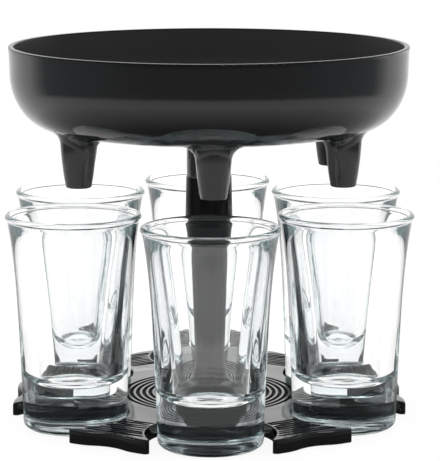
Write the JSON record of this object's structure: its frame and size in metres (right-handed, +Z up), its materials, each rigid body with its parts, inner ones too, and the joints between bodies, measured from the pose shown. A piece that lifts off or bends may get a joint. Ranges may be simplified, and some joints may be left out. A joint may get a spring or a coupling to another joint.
{
  "type": "party shot dispenser",
  "caption": "Shallow bowl with pouring spouts that turns on a slender column over a notched base plate holding shot glasses.",
  "frame": {"origin": "on the table under the pads, on the axis of the column", "axes": "+Z up along the column; -Y from the column towards the front glass; +X to the right seen from the front"},
  "size_m": [0.1438, 0.1586, 0.1331],
  "materials": {
    "clear_glass": "clear pressed glass, smooth and fire polished",
    "black_plastic": "injection moulded, polished black",
    "rubber": "soft matt black",
    "nylon": "natural, slightly waxy",
    "steel": "zinc plated"
  },
  "bodies": {
    "stand": {"base_plate": "black_plastic", "column": "black_plastic", "base_screw": "steel", "base_washer": "steel", "grip_ring": "rubber", "foot_pad_1": "rubber", "foot_pad_2": "rubber", "foot_pad_3": "rubber", "foot_pad_4": "rubber", "foot_pad_5": "rubber", "foot_pad_6": "rubber"},
    "bowl_mount": {"swivel_bush": "nylon", "retaining_clip": "steel"},
    "bowl": {"bowl": "black_plastic", "pour_dome": "black_plastic", "dome_seal": "rubber"},
    "glass_1": {"glass_1": "clear_glass"},
    "glass_2": {"glass_2": "clear_glass"},
    "glass_3": {"glass_3": "clear_glass"},
    "glass_4": {"glass_4": "clear_glass"},
    "glass_5": {"glass_5": "clear_glass"},
    "glass_6": {"glass_6": "clear_glass"}
  },
  "joints": [
    {"name": "bowl_lift", "type": "slide", "parent": "stand", "child": "bowl_mount", "axis": [0, 0, 1], "range_m": [0, 0.04]},
    {"name": "bowl_turn", "type": "hinge", "parent": "bowl_mount", "child": "bowl", "pos_m": [0, 0, 0.11], "axis": [0, 0, 1], "continuous": true},
    {"name": "glass_1_slide", "type": "slide", "parent": "stand", "child": "glass_1", "axis": [0, -1, 0], "range_m": [0, 0.06]},
    {"name": "glass_2_slide", "type": "slide", "parent": "stand", "child": "glass_2", "axis": [0.866, -0.5, 0], "range_m": [0, 0.06]},
    {"name": "glass_3_slide", "type": "slide", "parent": "stand", "child": "glass_3", "axis": [0.866, 0.5, 0], "range_m": [0, 0.06]},
    {"name": "glass_4_slide", "type": "slide", "parent": "stand", "child": "glass_4", "axis": [0, 1, 0], "range_m": [0, 0.06]},
    {"name": "glass_5_slide", "type": "slide", "parent": "stand", "child": "glass_5", "axis": [-0.866, 0.5, 0], "range_m": [0, 0.06]},
    {"name": "glass_6_slide", "type": "slide", "parent": "stand", "child": "glass_6", "axis": [-0.866, -0.5, 0], "range_m": [0, 0.06]}
  ]
}
